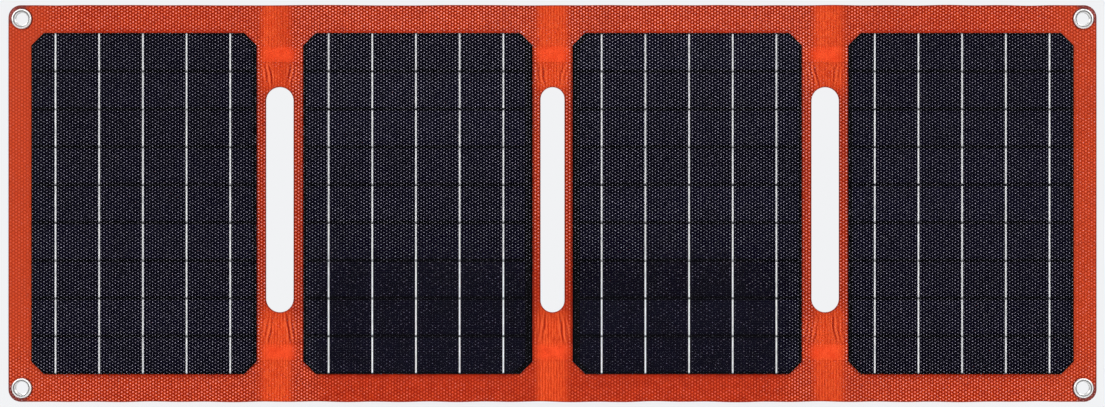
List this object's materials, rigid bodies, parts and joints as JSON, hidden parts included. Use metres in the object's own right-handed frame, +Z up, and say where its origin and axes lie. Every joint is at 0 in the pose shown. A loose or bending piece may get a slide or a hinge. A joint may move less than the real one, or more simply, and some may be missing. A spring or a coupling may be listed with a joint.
{
  "type": "foldable solar panel",
  "caption": "Foldable solar panel of stiff cell leaves joined by slotted fabric folds, with corner eyelets and a USB controller box on the back.",
  "frame": {"origin": "centre of the rectangle of corner eyelets, in the plane where the front and back fabrics meet", "axes": "+X to the right along the panel's width seen from the cells, +Y out of the back, +Z up along the fold lines; the cells face -Y"},
  "size_m": [0.782, 0.0151, 0.285],
  "materials": {
    "front_fabric": "woven polyester, coated",
    "back_fabric": "woven polyester, coated",
    "board": "satin",
    "cells": "blue-black anti-reflection coating",
    "tinned_copper": "tinned",
    "jumper_sleeve": "thin orange sleeve",
    "film": "clear, embossed",
    "nickel": "nickel plated",
    "case": "fine spark texture",
    "rubber": "matt",
    "circuit_board": "solder mask",
    "port_shell": "nickel plated",
    "port_tongue": "moulded",
    "ferrite": "sintered",
    "can": "bright",
    "chip": "moulded",
    "led": "clear resin",
    "light_pipe": "frosted",
    "lead": "matt"
  },
  "bodies": {
    "leaf_1": {"leaf_1_back_fabric": "back_fabric", "leaf_1_front_fabric": "front_fabric", "leaf_1_board": "board", "leaf_1_cells": "cells", "leaf_1_ribbons": "tinned_copper", "leaf_1_busbars": "tinned_copper", "leaf_1_film": "film", "leaf_1_eyelets": "nickel", "leaf_1_washers": "nickel"},
    "leaf_2": {"leaf_2_back_fabric": "back_fabric", "leaf_2_front_fabric": "front_fabric", "leaf_2_board": "board", "leaf_2_cells": "cells", "leaf_2_ribbons": "tinned_copper", "leaf_2_busbars": "tinned_copper", "leaf_2_film": "film", "fold_1_strip": "front_fabric", "fold_1_jumpers": "jumper_sleeve", "fold_2_strip": "front_fabric", "fold_2_jumpers": "jumper_sleeve"},
    "leaf_3": {"leaf_3_back_fabric": "back_fabric", "leaf_3_front_fabric": "front_fabric", "leaf_3_board": "board", "leaf_3_cells": "cells", "leaf_3_ribbons": "tinned_copper", "leaf_3_busbars": "tinned_copper", "leaf_3_film": "film", "fold_3_strip": "front_fabric", "fold_3_jumpers": "jumper_sleeve"},
    "leaf_4": {"leaf_4_back_fabric": "back_fabric", "leaf_4_front_fabric": "front_fabric", "leaf_4_board": "board", "leaf_4_cells": "cells", "leaf_4_ribbons": "tinned_copper", "leaf_4_busbars": "tinned_copper", "leaf_4_film": "film", "leaf_4_eyelets": "nickel", "leaf_4_washers": "nickel", "controller_base": "case", "controller_cover": "case", "controller_gasket": "rubber", "controller_pcb": "circuit_board", "controller_screws": "nickel", "usb_a_shells": "port_shell", "usb_a_tongues": "port_tongue", "usb_c_shell": "port_shell", "usb_c_tongue": "case", "inductor": "ferrite", "capacitors": "can", "converter_chip": "chip", "status_led": "led", "light_pipe": "light_pipe", "lead_wires": "lead", "lead_bushes": "rubber"}
  },
  "joints": [
    {"name": "fold_1", "type": "hinge", "parent": "leaf_2", "child": "leaf_1", "pos_m": [-0.196, -0.0027, 0], "axis": [0, 0, 1], "range_deg": [0, 179.5], "deforming": ["fold_1_strip", "fold_1_jumpers"]},
    {"name": "fold_2", "type": "hinge", "parent": "leaf_2", "child": "leaf_3", "pos_m": [0, 0.00085, 0], "axis": [0, 0, 1], "range_deg": [0, 177.5], "deforming": ["fold_2_strip", "fold_2_jumpers"]},
    {"name": "fold_3", "type": "hinge", "parent": "leaf_3", "child": "leaf_4", "pos_m": [0.196, -0.0027, 0], "axis": [0, 0, -1], "range_deg": [0, 179.5], "deforming": ["fold_3_strip", "fold_3_jumpers"]}
  ]
}
